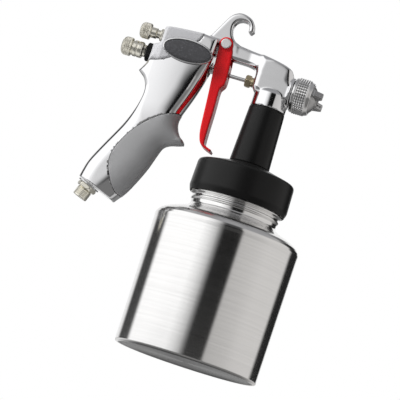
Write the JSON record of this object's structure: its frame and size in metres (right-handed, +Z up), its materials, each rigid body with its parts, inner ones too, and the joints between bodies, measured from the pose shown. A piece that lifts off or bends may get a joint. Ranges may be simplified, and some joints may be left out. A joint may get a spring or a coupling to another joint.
{
  "type": "siphon feed hvlp spray gun",
  "caption": "Siphon-feed HVLP paint spray gun with a polished body, red trigger, rear adjusting knobs and a brushed metal cup.",
  "frame": {"origin": "centre of the cup's base, on the surface it stands on", "axes": "+Z up along the cup's axis, +X towards the nozzle"},
  "size_m": [0.1719, 0.1084, 0.2571],
  "materials": {
    "polished_aluminium": "polished",
    "brushed_aluminium": "brushed",
    "nickel": "nickel plated, satin",
    "brass": "machined",
    "steel": "machined",
    "black_coat": "satin black",
    "red_paint": "satin red",
    "grey_paint": "satin grey",
    "grey_rubber": "soft matte",
    "charcoal": "satin",
    "white_seal": "smooth"
  },
  "bodies": {
    "gun": {"cup_lid": "black_coat", "neck_sleeve": "black_coat", "siphon_tube": "steel", "tube_strainer": "white_seal", "gun_body": "polished_aluminium", "rear_housing": "grey_paint", "grip_insert": "grey_rubber", "badge_left": "charcoal", "badge_right": "charcoal", "badge_rim_left": "polished_aluminium", "badge_rim_right": "polished_aluminium", "pivot_screw": "steel", "pivot_nut": "steel", "packing_nut": "brass", "needle_packing": "white_seal", "fluid_nozzle": "steel", "needle_spring": "steel", "fluid_knob_bush": "black_coat", "fan_knob_bush": "nickel", "air_valve_nut": "brass", "air_valve_seat": "brass", "air_valve_spring": "steel", "inlet_fitting": "nickel", "inlet_washer": "steel"},
    "trigger": {"trigger": "red_paint"},
    "needle": {"fluid_needle": "steel"},
    "air_valve_stem": {"air_valve_stem": "steel"},
    "spring_seat": {"spring_seat": "brass"},
    "fluid_knob": {"fluid_knob": "nickel"},
    "fan_valve": {"fan_valve_needle": "brass"},
    "fan_knob": {"fan_knob": "nickel"},
    "cap_seal": {"cap_seal_ring": "white_seal"},
    "air_cap": {"air_cap": "steel"},
    "retaining_ring": {"retaining_ring": "steel"},
    "gasket": {"lid_gasket": "white_seal"},
    "cup": {"cup": "brushed_aluminium"}
  },
  "joints": [
    {"name": "trigger_pull", "type": "hinge", "parent": "gun", "child": "trigger", "pos_m": [-0.0429, 0, 0.2309], "axis": [0, 1, 0], "range_deg": [0, 7], "stiffness_Nm_per_rad": 1.5, "springref_deg": -8.59},
    {"name": "needle_slide", "type": "slide", "parent": "gun", "child": "needle", "axis": [-1, 0, 0], "range_m": [0, 0.00225], "deforming": ["needle_spring"]},
    {"name": "air_valve_slide", "type": "slide", "parent": "gun", "child": "air_valve_stem", "axis": [-1, 0, 0], "range_m": [0, 0.00283], "deforming": ["air_valve_spring"]},
    {"name": "fluid_knob_travel", "type": "slide", "parent": "gun", "child": "spring_seat", "axis": [-1, 0, 0], "range_m": [0, 0.0024]},
    {"name": "fluid_knob_turn", "type": "hinge", "parent": "spring_seat", "child": "fluid_knob", "pos_m": [-0.105, 0, 0.2102], "axis": [-1, 0, 0], "range_deg": [0, 1081]},
    {"name": "fan_knob_travel", "type": "slide", "parent": "gun", "child": "fan_valve", "axis": [-1, 0, 0], "range_m": [0, 0.002]},
    {"name": "fan_knob_turn", "type": "hinge", "parent": "fan_valve", "child": "fan_knob", "pos_m": [-0.1, 0, 0.2252], "axis": [-1, 0, 0], "range_deg": [0, 721]},
    {"name": "ring_travel", "type": "slide", "parent": "gun", "child": "cap_seal", "axis": [1, 0, 0], "range_m": [0, 0.003]},
    {"name": "ring_turn", "type": "hinge", "parent": "cap_seal", "child": "retaining_ring", "pos_m": [0.02, 0, 0.2102], "axis": [1, 0, 0], "range_deg": [0, 721]},
    {"name": "air_cap_turn", "type": "hinge", "parent": "cap_seal", "child": "air_cap", "pos_m": [0.028, 0, 0.2102], "axis": [1, 0, 0], "range_deg": [-90, 90]},
    {"name": "cup_travel", "type": "slide", "parent": "cup", "child": "gasket", "axis": [0, 0, 1], "range_m": [0, 0.0081]},
    {"name": "cup_turn", "type": "hinge", "parent": "gasket", "child": "gun", "pos_m": [0, 0, 0.13], "axis": [0, 0, 1], "range_deg": [0, 720]}
  ],
  "couplings": [
    {"joint": "needle_slide", "follows": "trigger_pull", "m_per_rad": 0.01594},
    {"joint": "air_valve_slide", "follows": "trigger_pull", "m_per_rad": 0.0207},
    {"joint": "fluid_knob_turn", "follows": "fluid_knob_travel", "rad_per_m": 7854},
    {"joint": "fan_knob_turn", "follows": "fan_knob_travel", "rad_per_m": 6283.2},
    {"joint": "ring_turn", "follows": "ring_travel", "rad_per_m": 4188.8},
    {"joint": "cup_travel", "follows": "cup_turn", "m_per_rad": 0.00063662}
  ]
}
